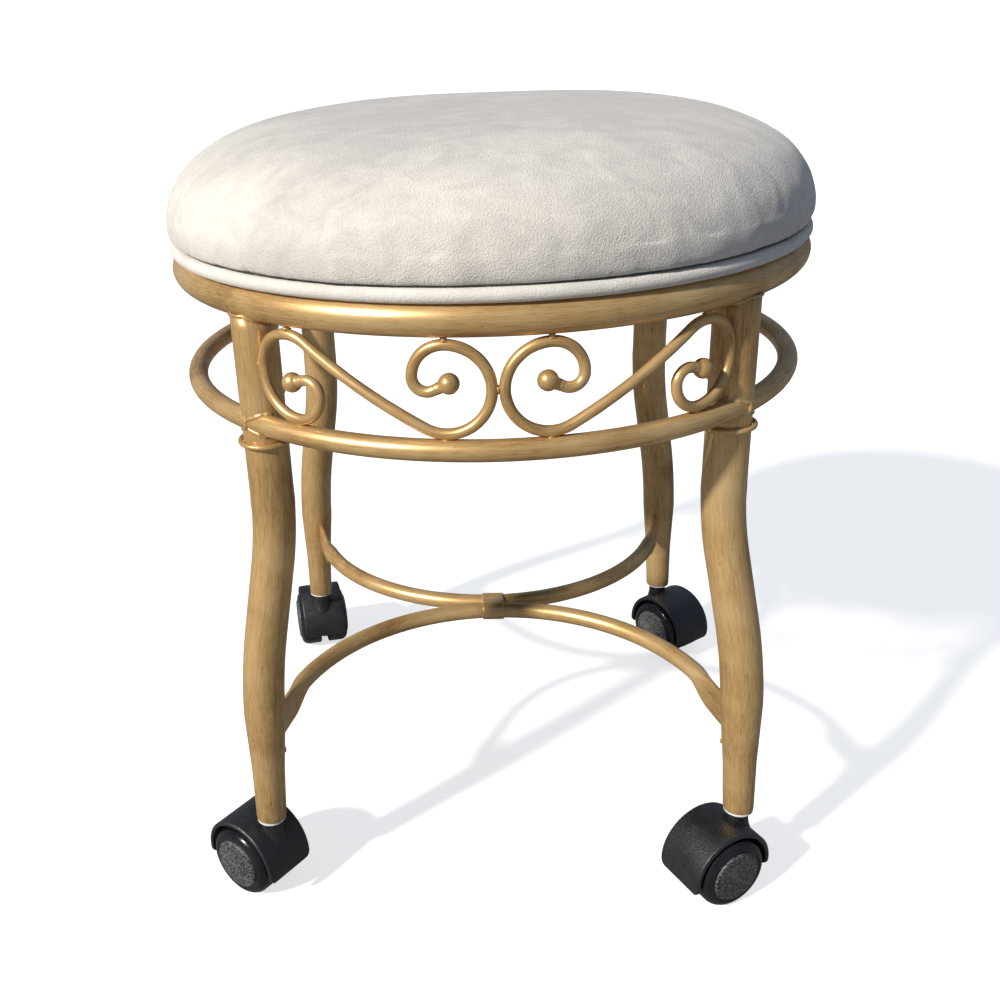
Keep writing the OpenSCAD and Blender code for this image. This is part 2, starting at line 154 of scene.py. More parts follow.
def ripple(angle, seed, low, high, terms=7):
    """Unevenness of about -1 to 1 round a circle: a sum of sines with whole counts of waves and seeded
    phases, over the root of their number."""
    dice = np.random.default_rng(seed)
    counts = dice.integers(low, high, terms)
    phases = dice.uniform(0, TURN, terms)
    waves = np.sin(counts * np.asarray(angle)[..., None] + phases)
    return waves.sum(-1) / np.sqrt(terms)


def rounded_box(width, height, corner, steps=5):
    """Outline of a rectangle with round corners: a quarter circle at each corner, with a point just before
    and just past it that keeps the side flat."""
    quarter = np.linspace(0, np.pi / 2, steps)
    hold = 0.3 * corner
    sides = []
    for turn in range(4):
        a = quarter + turn * np.pi / 2
        sx, sy = (1, -1, -1, 1)[turn], (1, 1, -1, -1)[turn]
        arc = corner * polar(a) + [sx * (width / 2 - corner), sy * (height / 2 - corner)]
        before = arc[0] - hold * np.array([-np.sin(a[0]), np.cos(a[0])])
        after = arc[-1] + hold * np.array([-np.sin(a[-1]), np.cos(a[-1])])
        sides += [before[None], arc, after[None]]
    return np.concatenate(sides)


def carried(path, ref, section, loop=False):
    """A flat section carried along a path. Its first axis is ref less the part of it that lies along the
    path, and its second is the path's direction crossed with the first."""
    ahead = np.roll(path, -1, 0) - np.roll(path, 1, 0) if loop else np.gradient(path, axis=0)
    t = unit(ahead)
    ref = np.broadcast_to(ref, path.shape)
    a = unit(ref - (ref * t).sum(-1, keepdims=True) * t)
    b = np.cross(t, a)
    return path[:, None] + section[..., :1] * a[:, None] + section[..., 1:] * b[:, None]


def rolled_ends(low, high, run, depth, count):
    """Stations from low to high along a piece whose ends roll over on a quarter circle, run long and depth
    deep, and how far each station is drawn in: 1 - cos along and 1 - sin inwards, over a quarter turn."""
    bend = np.linspace(0, np.pi / 2, 6)
    lead = run * (1 - np.cos(bend))
    drawn = depth * (1 - np.sin(bend))
    middle = np.linspace(low + run, high - run, count + 2)[1:-1]
    stations = np.concatenate([low + lead, middle, high - lead[::-1]])
    return stations, np.concatenate([drawn, np.zeros(count), drawn[::-1]])[:, None]


def revolved(profile, sides):
    """Rows of points round the Z axis from a profile of (radius, height)."""
    a = around(sides)
    radius, height = profile[:, :1], profile[:, 1:]
    return np.stack([radius * np.cos(a), radius * np.sin(a), height + 0 * a], -1)


def turned(points, yaw, origin):
    """Points turned about Z by yaw and moved to an origin on the floor."""
    c, s = np.cos(yaw), np.sin(yaw)
    turn = np.array([[c, s, 0], [-s, c, 0], [0, 0, 1]])
    return points @ turn + np.array([origin[0], origin[1], 0])


def skin(rows, loop=False, bands=None):
    """A closed skin over rows of points: quads join each row to the next, and an end is a fan to its
    centre, unless the rows close in a loop. Grain is (across, across, along) in metres. Bands pick each
    row's material. A skin of negative volume, the sum of its corners' triple products, is turned over."""
    n, m = rows.shape[:2]
    centres = rows.mean(1)
    radius = np.linalg.norm(rows - centres[:, None], axis=2).mean(1)
    along = np.concatenate([[0], np.cumsum(np.linalg.norm(np.diff(centres, axis=0), axis=1))])
    across = radius[:, None, None] * polar(around(m))
    grain = np.concatenate([across, np.broadcast_to(along[:, None, None], (n, m, 1))], 2).reshape(-1, 3)
    i = np.arange(n if loop else n - 1)[:, None]
    j = np.arange(m)[None]
    i2, j2 = (i + 1) % n, (j + 1) % m
    quads = np.stack([i * m + j, i * m + j2, i2 * m + j2, i2 * m + j], -1).reshape(-1, 4)
    marks = np.zeros(len(i), int) if bands is None else np.asarray(bands)
    picks = np.repeat(marks, m)
    points, fans = rows.reshape(-1, 3), np.zeros((0, 3), int)
    if not loop:
        k, k2 = j[0], j2[0]
        first = np.stack([0 * k + n * m, k2, k], -1)
        last = np.stack([0 * k + n * m + 1, (n - 1) * m + k, (n - 1) * m + k2], -1)
        fans = np.concatenate([first, last])
        points = np.concatenate([points, centres[[0, -1]]])
        grain = np.concatenate([grain, [[0, 0, along[0]], [0, 0, along[-1]]]])
        picks = np.concatenate([picks, np.repeat(marks[[0, -1]], m)])
    halves = np.concatenate([quads[:, :3], quads[:, [0, 2, 3]], fans])
    a, b, c = (points[halves[:, corner]] for corner in range(3))
    if (a * np.cross(b, c)).sum() < 0:
        quads, fans = quads[:, ::-1], fans[:, ::-1]
    return points, quads, fans, grain, picks


def build(name, skins, finishes, body, stands_for=()):
    """One smooth-shaded object from closed skins, riding on a body in place of its CAD nodes."""
    starts = np.cumsum([0] + [len(s[0]) for s in skins])
    faces = []
    for start, s in zip(starts, skins):
        faces += (s[1] + start).tolist() + (s[2] + start).tolist()
    mesh = bpy.data.meshes.new(name)
    mesh.from_pydata(np.concatenate([s[0] for s in skins]).tolist(), [], faces)
    grain = mesh.attributes.new("grain", "FLOAT_VECTOR", "POINT")
    grain.data.foreach_set("vector", np.concatenate([s[3] for s in skins]).astype(np.float32).ravel())
    for finish in finishes:
        mesh.materials.append(finish)
    mesh.polygons.foreach_set("material_index", np.concatenate([s[4] for s in skins]).astype(np.int32))
    mesh.polygons.foreach_set("use_smooth", np.ones(len(mesh.polygons), bool))
    mesh.update()
    made = bpy.data.objects.new(name, mesh)
    bpy.context.scene.collection.objects.link(made)
    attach(made, body)
    if stands_for:
        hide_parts(*stands_for)
    return made


# ---------------------------------------------------------------- camera, light and floor

def camera():
    """The viewpoint: in front of the stool, a little left of it and looking down at the seat."""
    yaw, pitch, roll = np.radians([-2.4304, 23.9176, -2.7239])
    ahead = np.array([np.sin(yaw) * np.cos(pitch), np.cos(yaw) * np.cos(pitch), -np.sin(pitch)])
    right = np.array([np.cos(yaw), -np.sin(yaw), 0])
    up = np.cross(right, ahead)
    x = np.cos(roll) * right + np.sin(roll) * up
    y = np.cos(roll) * up - np.sin(roll) * right
    data = bpy.data.cameras.new("camera")
    data.lens, data.sensor_width = 39.69, 36
    data.shift_x, data.shift_y = 0.0781, -0.0048
    data.clip_start = 0.05
    made = bpy.data.objects.new("camera", data)
    bpy.context.scene.collection.objects.link(made)
    made.matrix_world = Matrix(np.column_stack([x, y, -ahead]).tolist()).to_4x4()
    made.location = (-0.0184, -0.7118, 0.5301)
    bpy.context.scene.camera = made


def aimed(data, azimuth, elevation, distance):
    """A light out at a distance in a direction, looking at the middle of the stool."""
    made = bpy.data.objects.new(data.name, data)
    bpy.context.scene.collection.objects.link(made)
    a, e = np.radians([azimuth, elevation])
    back = np.array([np.cos(a) * np.cos(e), np.sin(a) * np.cos(e), np.sin(e)])
    side = unit(np.cross(UP, back))
    made.matrix_world = Matrix(np.column_stack([side, np.cross(back, side), back]).tolist()).to_4x4()
    made.location = (distance * back + [0, 0, 0.25]).tolist()


def surround():
    """A dim cool sky that lights the stool, and a plain white that is seen behind it."""
    world = bpy.data.worlds.new("surround")
    world.use_nodes = True
    tree = world.node_tree
    sky = tree.nodes["Background"]
    sky.inputs["Color"].default_value = (0.57, 0.73, 1, 1)
    sky.inputs["Strength"].default_value = 0.28
    plain = tree.nodes.new("ShaderNodeBackground")
    plain.inputs["Color"].default_value = (1, 1, 1, 1)
    seen = tree.nodes.new("ShaderNodeLightPath")
    pick = tree.nodes.new("ShaderNodeMixShader")
    tree.links.new(seen.outputs["Is Camera Ray"], pick.inputs[0])
    tree.links.new(sky.outputs[0], pick.inputs[1])
    tree.links.new(plain.outputs[0], pick.inputs[2])
    tree.links.new(pick.outputs[0], tree.nodes["World Output"].inputs["Surface"])
    bpy.context.scene.world = world


def lights():
    """A warm soft key from the front left, and a weak broad light overhead."""
    key = bpy.data.lights.new("key", "SUN")
    key.energy, key.angle, key.color = 4.5, np.radians(3.5), (1, 0.95, 0.87)
    aimed(key, -140, 35, 3)
    overhead = bpy.data.lights.new("overhead", "AREA")
    overhead.energy, overhead.size, overhead.color = 4, 1.4, (0.85, 0.92, 1)
    aimed(overhead, 70, 70, 2.2)


def pale_floor():
    """A wide plain floor, that glows a little to the eye but lights nothing."""
    reach = 300
    corners = [(-reach, -reach, 0), (reach, -reach, 0), (reach, reach, 0), (-reach, reach, 0)]
    mesh = bpy.data.meshes.new("floor")
    mesh.from_pydata(corners, [], [(0, 1, 2, 3)])
    floor = bpy.data.objects.new("floor", mesh)
    bpy.context.scene.collection.objects.link(floor)
    paint = Finish("floor_white", {"Roughness": 0.9, "Emission Color": (1, 1, 1, 1)})
    seen = paint.add("ShaderNodeLightPath").outputs["Is Camera Ray"]
    speck = paint.noise(paint.at("object", 3), detail=2)
    tone = paint.blend(((seen, 0.95), (speck, 0.05)))
    paint.give("Base Color", paint.ramp(tone, ((0, (0.21, 0.21, 0.21)), (1, (0.55, 0.55, 0.55)))))
    paint.give("Emission Strength", paint.blend(((seen, 0.7),)))
    mesh.materials.append(paint.material)


# ---------------------------------------------------------------- finishes

class Finish:
    """A material, and the few words its node tree is written in."""

    def __init__(self, name, values):
        self.material = bpy.data.materials.new(name)
        self.material.use_nodes = True
        self.tree = self.material.node_tree
        self.shader = self.tree.nodes["Principled BSDF"]
        for socket, value in values.items():
            self.shader.inputs[socket].default_value = value

    def add(self, kind, **inputs):
        """A node whose inputs are links or plain values."""
        node = self.tree.nodes.new(kind)
        for name, value in inputs.items():
            self.join(value, node.inputs[name.replace("_", " ")])
        return node

    def join(self, value, socket):
        """A link where value is another node's output, else the value itself."""
        if isinstance(value, bpy.types.NodeSocket):
            self.tree.links.new(value, socket)
        else:
            socket.default_value = value

    def give(self, socket, value):
        """Drives one of the shader's own inputs."""
        self.join(value, self.shader.inputs[socket])

    def at(self, source, scale, turn=(0, 0, 0)):
        """Scaled coordinates: the object's own, or the grain that runs along a piece."""
        if source == "object":
            place = self.add("ShaderNodeTexCoord").outputs["Object"]
        else:
            holder = self.add("ShaderNodeAttribute")
            holder.attribute_name = source
            place = holder.outputs["Vector"]
        scale = (scale,) * 3 if np.isscalar(scale) else scale
        return self.add("ShaderNodeMapping", Vector=place, Scale=scale, Rotation=turn).outputs[0]

    def noise(self, place, detail=3, rough=0.55, bend=0.0):
        """Fractal noise at coordinates that are already scaled."""
        shape = {"Detail": detail, "Roughness": rough, "Distortion": bend}
        return self.add("ShaderNodeTexNoise", Vector=place, Scale=1, **shape).outputs[0]

    def cells(self, place):
        """Distance to the nearest of many scattered points."""
        return self.add("ShaderNodeTexVoronoi", Vector=place, Scale=1).outputs[0]

    def blend(self, parts):
        """Sum of parts, each a value times its weight."""
        total = None
        for value, weight in parts:
            node = self.tree.nodes.new("ShaderNodeMath")
            node.operation = "MULTIPLY_ADD"
            self.join(value, node.inputs[0])
            node.inputs[1].default_value = weight
            self.join(0.0 if total is None else total, node.inputs[2])
            total = node.outputs[0]
        return total

    def ramp(self, value, stops):
        """Colours laid along a value from 0 to 1."""
        node = self.add("ShaderNodeValToRGB", Fac=value)
        marks = node.color_ramp.elements
        while len(marks) < len(stops):
            marks.new(0.5)
        for mark, (place, colour) in zip(marks, stops):
            mark.position = place
            mark.color = (*colour, 1)
        return node.outputs["Color"]

    def spread(self, value, low, high, to_low, to_high):
        """A value mapped from one range to another."""
        node = self.tree.nodes.new("ShaderNodeMapRange")
        self.join(value, node.inputs["Value"])
        ends = {"From Min": low, "From Max": high, "To Min": to_low, "To Max": to_high}
        for socket, number in ends.items():
            node.inputs[socket].default_value = number
        return node.outputs["Result"]

    def relief(self, height, depth, strength=1.0):
        """Small relief of a depth in metres."""
        bump = self.add("ShaderNodeBump", Height=height, Distance=depth, Strength=strength)
        self.give("Normal", bump.outputs[0])


def antique_gold(name, source, along):
    """Gold paint rubbed on by hand over brown: streaks and fine hairs along the grain, broad patches, and a
    few small dark flecks."""
    paint = Finish(name, {"Metallic": 0.5, "IOR": 1.5})
    streak = paint.noise(paint.at(source, (900, 900, along)), detail=3, rough=0.5, bend=0.1)
    hair = paint.noise(paint.at(source, (2600, 2600, 3 * along)), detail=2)
    patch = paint.noise(paint.at("object", 16), detail=4, bend=0.4)
    fleck = paint.spread(paint.cells(paint.at("object", 130)), 0.03, 0.09, -0.12, 0)
    tone = paint.blend(((streak, 0.2), (hair, 0.3), (patch, 0.5), (fleck, 1)))
    colour = paint.ramp(tone, (
        (0.2, (0.10, 0.05, 0.019)), (0.4, (0.40, 0.235, 0.088)),
        (0.49, (0.62, 0.392, 0.160)), (0.62, (0.78, 0.55, 0.270)),
    ))
    paint.give("Base Color", colour)
    paint.give("Roughness", paint.spread(tone, 0.35, 0.65, 0.44, 0.28))
    paint.relief(paint.blend(((hair, 0.6), (streak, 0.4))), 0.0001, 0.5)
    return paint.material


def ivory_suede(name, dark, mid, light, nap_depth):
    """Brushed microsuede: clouds and brush marks where the nap lies another way, over a fine pebbled nap,
    and painted shade that makes it a little darker over the crown, standing for the dimmer light grazing
    the top."""
    cloth = Finish(name, {
        "Roughness": 0.92, "Specular IOR Level": 0.15, "Sheen Weight": 0.25, "Sheen Roughness": 0.45,
        "Sheen Tint": (1, 0.97, 0.93, 1),
    })
    cloud = cloth.noise(cloth.at("object", 9), detail=4, rough=0.5, bend=0.8)
    brush = cloth.noise(cloth.at("object", (34, 60, 46), (0.2, 0.1, 0.7)), detail=5, rough=0.62, bend=1.2)
    nap = cloth.noise(cloth.at("object", (1050, 1050, 1200)), detail=2, rough=0.5, bend=0.1)
    fibre = cloth.noise(cloth.at("object", 2300), detail=2)
    height = cloth.add("ShaderNodeSeparateXYZ", Vector=cloth.at("object", 1)).outputs["Z"]
    # painted shade: the colour darkens with height over the crown, for light that only grazes the top
    painted_top_shade = cloth.spread(height, 0.44, 0.474, 0.0, -0.11)
    tone = cloth.blend(((cloud, 0.36), (brush, 0.34), (nap, 0.22), (fibre, 0.08), (painted_top_shade, 1)))
    cloth.give("Base Color", cloth.ramp(tone, ((0.36, dark), (0.5, mid), (0.62, light))))
    cloth.relief(cloth.blend(((nap, 0.75), (fibre, 0.25))), nap_depth, 0.75)
    return cloth.material


def dust_cloth():
    """Black non-woven cloth: a field of small pressed dots."""
    cloth = Finish("dust_cloth", {"Roughness": 0.95, "Specular IOR Level": 0.2})
    dots = cloth.cells(cloth.at("object", 480))
    fuzz = cloth.noise(cloth.at("object", 900), detail=3)
    tone = cloth.blend(((dots, 0.5), (fuzz, 0.5)))
    cloth.give("Base Color", cloth.ramp(tone, ((0.3, (0.018, 0.018, 0.02)), (0.7, (0.05, 0.05, 0.052)))))
    cloth.relief(tone, 0.0003, 0.6)
    return cloth.material


def plywood():
    """Birch plywood: long grain across the face, and darker glue lines between the plies on the edge."""
    wood = Finish("plywood", {"Roughness": 0.7})
    grain = wood.noise(wood.at("object", (9, 130, 30)), detail=5, rough=0.6, bend=0.6)
    plies = wood.noise(wood.at("object", (3, 3, 520)), detail=1)
    tone = wood.blend(((grain, 0.6), (plies, 0.4)))
    wood.give("Base Color", wood.ramp(tone, ((0.35, (0.32, 0.19, 0.09)), (0.6, (0.62, 0.45, 0.27)))))
    wood.relief(grain, 0.0002, 0.4)
    return wood.material


def moulded(name, dark, light, rough, grain_scale, depth, speck=0.5, gloss=0.5):
    """Moulded plastic: a fine spark-eroded grain with faint clouding and a few brighter specks. Rough is
    the roughness of its dark and its light spots."""
    plastic = Finish(name, {"Specular IOR Level": gloss})
    grain = plastic.noise(plastic.at("object", grain_scale), detail=2, rough=0.6)
    cloud = plastic.noise(plastic.at("object", 60), detail=3)
    tone = plastic.blend(((grain, speck), (cloud, 1 - speck)))
    plastic.give("Base Color", plastic.ramp(tone, ((0.42, dark), (0.62, light))))
    plastic.give("Roughness", plastic.spread(tone, 0.35, 0.65, *rough))
    plastic.relief(grain, depth, 0.7)
    return plastic.material


def zinc_steel():
    """Zinc-plated steel: a faint spangle and fine drawn lines."""
    metal = Finish("zinc_steel", {"Metallic": 1.0})
    spangle = metal.cells(metal.at("object", 320))
    lines = metal.noise(metal.at("object", (900, 900, 120)), detail=3)
    tone = metal.blend(((spangle, 0.4), (lines, 0.6)))
    metal.give("Base Color", metal.ramp(tone, ((0.3, (0.46, 0.46, 0.47)), (0.7, (0.66, 0.66, 0.67)))))
    metal.give("Roughness", metal.spread(tone, 0.3, 0.7, 0.28, 0.42))
    metal.relief(lines, 0.00005, 0.5)
    return metal.material


# ---------------------------------------------------------------- upholstery

def pad_outline():
    """The padded body's outline in the upright half-plane as (radius, height): its flat base, a lip that
    hangs past the board's edge down to the piping, and a flattened quarter oval whose radius is cos^0.49
    and whose rise is sin^0.96 of an angle."""
    base_z = BOARD_TOP + 0.0004
    base = [[0.0005, base_z], [0.1, base_z], [SPINE_R, base_z], [BOARD_R + 0.0014, base_z]]
    lip = np.array([
        [-0.0062, 0.0004], [-0.0045, -0.0002], [-0.0025, 0], [-0.0013, 0.0005], [-0.0003, 0.0036],
    ])
    share = np.append(np.cos(np.linspace(0, np.pi / 2, 60)), SPINE_R / SEAT_R)
    share = np.maximum(np.sort(share)[::-1], 0.0025)
    rise = np.sin(np.arccos(share ** (1 / 0.49))) ** 0.96
    oval = np.stack([SEAT_R * share, BULGE_Z + (CROWN_Z - BULGE_Z) * rise], -1)
    return np.concatenate([base, lip + [SEAT_R, WELT_TOP], oval])


def from_spine(flat):
    """Nearest point of the pad's spine, a level disc inside it, to points (radius, height), and their
    vector away from it."""
    spine = np.stack([np.minimum(flat[:, 0], SPINE_R), np.full(len(flat), SPINE_Z)], -1)
    return spine, flat - spine


def settled(points, keep):
    """Points drawn to the cover's outline: each goes along its line from the spine to the outline, and
    keeps a share of its own distance. Past the spine's rim the outline is read by bearing, and over it by
    radius."""
    angle = np.arctan2(points[:, 1], points[:, 0])
    rho = np.hypot(points[:, 0], points[:, 1])
    spine, away = from_spine(np.stack([rho, points[:, 2]], -1))
    outline = pad_outline()
    fan = outline[outline[:, 0] >= SPINE_R - 1e-9] - [SPINE_R, SPINE_Z]
    bearing = np.arctan2(away[:, 1], away[:, 0])
    past_rim = np.interp(bearing, np.arctan2(fan[:, 1], fan[:, 0]), np.hypot(*fan.T))
    top = outline[outline[:, 1] > SPINE_Z][::-1]
    over = np.interp(rho, top[:, 0], top[:, 1]) - SPINE_Z
    level = np.where(away[:, 1] > 0, over, SPINE_Z - outline[0, 1])
    wanted = np.where(rho > SPINE_R, past_rim, level)
    reach = np.linalg.norm(away, axis=1)
    drawn = spine + away / reach[:, None] * (keep * reach + (1 - keep) * wanted)[:, None]
    return np.concatenate([drawn[:, :1] * polar(angle), drawn[:, 1:]], 1)


def read(vertices, what):
    """A coordinate or normal of each vertex, as rows of three."""
    flat = np.zeros(len(vertices) * 3, np.float32)
    vertices.foreach_get(what, flat)
    return flat.reshape(-1, 3)


def plumped(obj, cap, frames=20):
    """The pad's points after some frames of cloth under pressure, with its rim held. Only the part of the
    movement along the surface's own normal is kept, so nothing folds, and it is cap at most."""
    mesh = obj.data
    rest = read(mesh.vertices, "co")
    held = obj.vertex_groups.new(name="held")
    hold = 1 - ease((rest[:, 2] - BULGE_Z) / 0.008)
    for strength in (1.0, 0.75, 0.5, 0.25):
        chosen = np.flatnonzero(np.abs(hold - strength) <= 0.125)
        held.add(chosen.tolist(), strength, "REPLACE")
    cloth = obj.modifiers.new("plump", "CLOTH")
    cloth.settings.use_pressure = True
    cloth.settings.uniform_pressure_force = 4
    cloth.settings.effector_weights.gravity = 0
    cloth.settings.vertex_group_mass = "held"
    cloth.point_cache.frame_start, cloth.point_cache.frame_end = 1, frames
    for frame_number in range(1, frames + 1):
        bpy.context.scene.frame_set(frame_number)
    swollen = obj.evaluated_get(bpy.context.evaluated_depsgraph_get()).to_mesh()
    moved = read(swollen.vertices, "co")
    obj.modifiers.remove(cloth)
    obj.vertex_groups.clear()
    normal = read(mesh.vertices, "normal")
    out = ((moved - rest) * normal).sum(1, keepdims=True)
    return rest + normal * np.clip(out, -cap, cap)


def cushion(suede):
    """The padded seat: a slightly small body is remeshed even, plumped as cloth, drawn to the cover's
    outline, and gathered a little where the piping pulls it in. The gathers fade upwards from the board as
    exp(-height), and the crown is uneven by the product of a sine and a cosine."""
    undersize, voxel, cap, keep = 0.003, 0.004, 0.004, 0.2
    outline = pad_outline()
    start = skin(revolved(outline - undersize * unit(from_spine(outline)[1]), 144))
    made = build("cushion", [start], [suede], "frame", ("cushion_cover", "foam_pad"))
    remesh = made.modifiers.new("even", "REMESH")
    remesh.mode, remesh.voxel_size = "VOXEL", voxel
    even = bpy.data.meshes.new_from_object(made.evaluated_get(bpy.context.evaluated_depsgraph_get()))
    made.modifiers.remove(remesh)
    made.data = even
    points = plumped(made, cap)
    points = settled(points.astype(float), keep)
    angle = np.arctan2(points[:, 1], points[:, 0])
    low = np.exp(-np.maximum(points[:, 2] - BOARD_Z - 0.008, 0) / 0.016)
    pull = 0.0004 * low * ripple(angle, 5, 18, 60, 9) + 0.0005 * np.sqrt(low) * ripple(angle, 8, 5, 14)
    rho = np.hypot(points[:, 0], points[:, 1])
    pull *= ease((rho - 0.16) / 0.02)
    points[:, :2] *= 1 + (pull / np.maximum(rho, 0.05))[:, None]
    crown = ease((points[:, 2] - 0.43) / 0.02)
    points[:, 2] += 0.0006 * np.sin(31 * points[:, 0] + 1) * np.cos(27 * points[:, 1]) * crown
    even.vertices.foreach_set("co", points.astype(np.float32).ravel())
    even.polygons.foreach_set("use_smooth", np.ones(len(even.polygons), bool))
    even.update()
    smooth = made.modifiers.new("smooth", "SUBSURF")
    smooth.levels = smooth.render_levels = 1


def cover_hem(suede):
    """The cover's lower edge: down from under the pad's lip, round the board's edge and under it to a
    stapled hem, as one closed strip. Its outline is (out, up) from the board's lower edge. Under the board
    it is laid in small pleats, and the hem's edge wanders."""
    outside = [
        [0.0006, 0.0110], [0.0009, 0.0106], [0.0012, 0.0088], [0.0015, 0.0065], [0.0017, 0.0044],
        [0.0016, 0.0020], [0.0013, 0], [0.0004, -0.0010], [-0.0015, -0.0012], [-0.0055, -0.0011],
        [-0.0105, -0.0011], [0.001 - HEM_REACH, -0.0011], [-HEM_REACH, -0.0007],
    ]
    inside = [
        [-HEM_REACH, -0.0003], [0.001 - HEM_REACH, -0.0001], [-0.0055, -0.0001], [-0.0006, -0.0001],
        [0.0002, 0.0008], [0.0003, 0.0048], [0.0003, 0.0100], [0.0004, 0.0108],
    ]
    sides = 360
    rows = revolved(np.array(outside + inside) + [BOARD_R, BOARD_Z], sides)
    a = around(sides)
    rho = np.hypot(rows[..., 0], rows[..., 1])
    under = (rows[..., 2] < BOARD_Z - 0.00025) & (rho < BOARD_R - 0.004)
    pleats = 0.00018 * (1 + ripple(a, 3, 40, 110, 9))
    rows[..., 2] -= np.where(under, pleats, 0)
    wander = np.where(rho < BOARD_R - 0.009, 0.0011 * ripple(a, 4, 9, 70, 9), 0)
    rows[..., :2] *= (1 + wander / rho)[..., None]
    build("cover_hem", [skin(rows, loop=True)], [suede], "frame")


def piping(cloth):
    """The piping: a covered cord bent to a ring, slightly uneven, thicker over its lapped joint at the
    rear."""
    a = around(420) + np.pi / 2
    path = np.concatenate([WELT_R * polar(a), np.full((len(a), 1), WELT_Z)], 1)
    off_joint = np.abs((a - np.pi / 2 + np.pi) % TURN - np.pi) * WELT_R
    swell = 1 + 0.012 * ripple(a, 11, 20, 120, 9) - 0.03 * ease((off_joint - 0.007) / 0.002)
    section = WELT_TUBE * 0.995 * swell[:, None, None] * polar(around(20))
    build("piping", [skin(carried(path, UP, section, loop=True), loop=True)], [cloth], "frame",
          ("welt_cord",))


def dust_cover(cloth):
    """The black cloth under the board: a thin disc that hangs a little in the middle, by 1 - share^2 of its
    radius, and puckers at its 36 staples."""
    share = np.linspace(0.02, 1, 26)
    sides = 240
    a = around(sides)
    radius = DUST_R * share[:, None] * (1 + 0.0035 * share[:, None] ** 8 * ripple(a, 21, 12, 70, 9))
    sag = 0.0016 * (1 - share[:, None] ** 2)
    pucker = 0.00022 * share[:, None] ** 4 * (np.cos(36 * a) + 1)
    low = BOARD_Z - 0.0006 - sag - pucker
    thickness = 0.0005
    high = low + thickness
    under = np.stack([radius * np.cos(a), radius * np.sin(a), low + 0 * radius], -1)
    over = np.stack([radius * np.cos(a), radius * np.sin(a), high + 0 * radius], -1)[::-1]
    made = build("dust_cloth_disc", [skin(np.concatenate([under, over]))], [cloth], "frame",
                 ("dust_cover",))


def staples(steel):
    """Staples through the hem and the dust cloth: each a flat crown of wire whose ends turn up into the
    board."""
    crown, wire, rise = 0.0095, 0.00045, 0.0009
    hem_row = (BOARD_R - 0.0115, 44, 0.03, BOARD_Z - 0.0011)
    cloth_row = (DUST_R - 0.0045, 32, 0.09, BOARD_Z - 0.0009)
    x = np.array([-0.5, -0.5, -0.47, -0.42, 0, 0.42, 0.47, 0.5, 0.5]) * crown
    z = np.array([0, 0.6, 0.85, 1, 1, 1, 0.85, 0.6, 0]) * -rise
    skins = []
    for radius, count, phase, level in (hem_row, cloth_row):
        for a in around(count) + phase:
            lean = 0.35 * np.sin(7.3 * a)
            out = np.array([np.cos(a), np.sin(a), 0])
            side = np.array([-np.sin(a + lean), np.cos(a + lean), 0])
            path = radius * out + x[:, None] * side + (z + level + 0.0004)[:, None] * UP
            skins.append(skin(carried(path, out, wire * polar(around(6)))))
    build("staples", skins, [steel], "frame")


# ---------------------------------------------------------------- rings and legs

def seat_ring(gold):
    """The seat ring: a bent tube closed by one butt weld at the rear, which stands a little proud."""
    a = around(300) + np.pi / 2
    path = np.concatenate([RING_R * polar(a), np.full((len(a), 1), RING_Z)], 1)
    off_weld = np.abs((a - np.pi / 2 + np.pi) % TURN - np.pi) * RING_R
    tube = RING_TUBE - 0.0002 + 0.0002 * np.exp(-(off_weld / 0.002) ** 2)
    section = tube[:, None, None] * polar(around(36))
    build("seat_ring_tube", [skin(carried(path, UP, section, loop=True), loop=True)], [gold], "frame",
          ("seat_ring",))


def reach_of_leg(rho, depth):
    """Angle from a leg's azimuth at which a point at distance rho from the axis meets the leg, depth inside
    its surface: the cosine rule in the triangle of the stool's axis, the leg's axis and the point."""
    side = LEG_R - depth
    cosine = (rho ** 2 + LEG_TOP_R ** 2 - side ** 2) / (2 * rho * LEG_TOP_R)
    return np.arccos(np.clip(cosine, -1, 1))


def arc_point(azimuth, phi):
    """A point of the lower ring's surface at an azimuth, phi round the tube."""
    rho = ARC_R + ARC_TUBE * np.cos(phi)
    z = ARC_Z + ARC_TUBE * np.sin(phi) + 0 * azimuth
    return np.stack([rho * np.cos(azimuth), rho * np.sin(azimuth), z], -1)


def lower_arc(side, gold):
    """A quarter of the lower ring. Each line along the tube runs from one leg's surface to the next
    leg's."""
    phi = around(28)
    gap = reach_of_leg(ARC_R + ARC_TUBE * np.cos(phi), 0.0006)
    share = np.linspace(-1, 1, 80)[:, None]
    azimuth = np.radians(SIDES[side]) + share * (np.pi / 4 - gap)
    build("lower_arc_" + side, [skin(arc_point(azimuth, phi + 0 * azimuth))], [gold], "frame",
          ("lower_ring_" + side,))


def leg_line():
    """Centreline of a leg as (distance from the axis, height) from the top down: upright, a bend, a
    straight splay, a long sweep back and a straight foot. An arc is centre + radius * (cos, sin). Then the
    height at which the straight foot begins."""
    upright = np.stack([np.full(14, LEG_TOP_R), np.linspace(LEG_TOP_Z, BEND_Z, 14)], -1)
    bend_centre = np.array([LEG_TOP_R + BEND_R, BEND_Z])
    bend = bend_centre + BEND_R * polar(np.pi + np.linspace(0, SPLAY, 16))
    splay_end = bend[-1] + SPLAY_LEN * np.array([np.sin(SPLAY), -np.cos(SPLAY)])
    sweep_centre = splay_end - SWEEP_R * polar(SPLAY)
    sweep = sweep_centre + SWEEP_R * polar(np.linspace(SPLAY, FOOT_SPLAY, 16))
    foot_end = np.array([FOOT_R, FOOT_Z])
    t = np.linspace(0, 1, 14)[1:, None]
    between = bend[-1] + np.linspace(0, 1, 8)[1:-1, None] * (splay_end - bend[-1])
    foot = sweep[-1] + t * (foot_end - sweep[-1])
    return np.concatenate([upright, bend[1:], between, sweep, foot]), sweep[-1, 1]


LEG_LINE, TAPER_Z = leg_line()


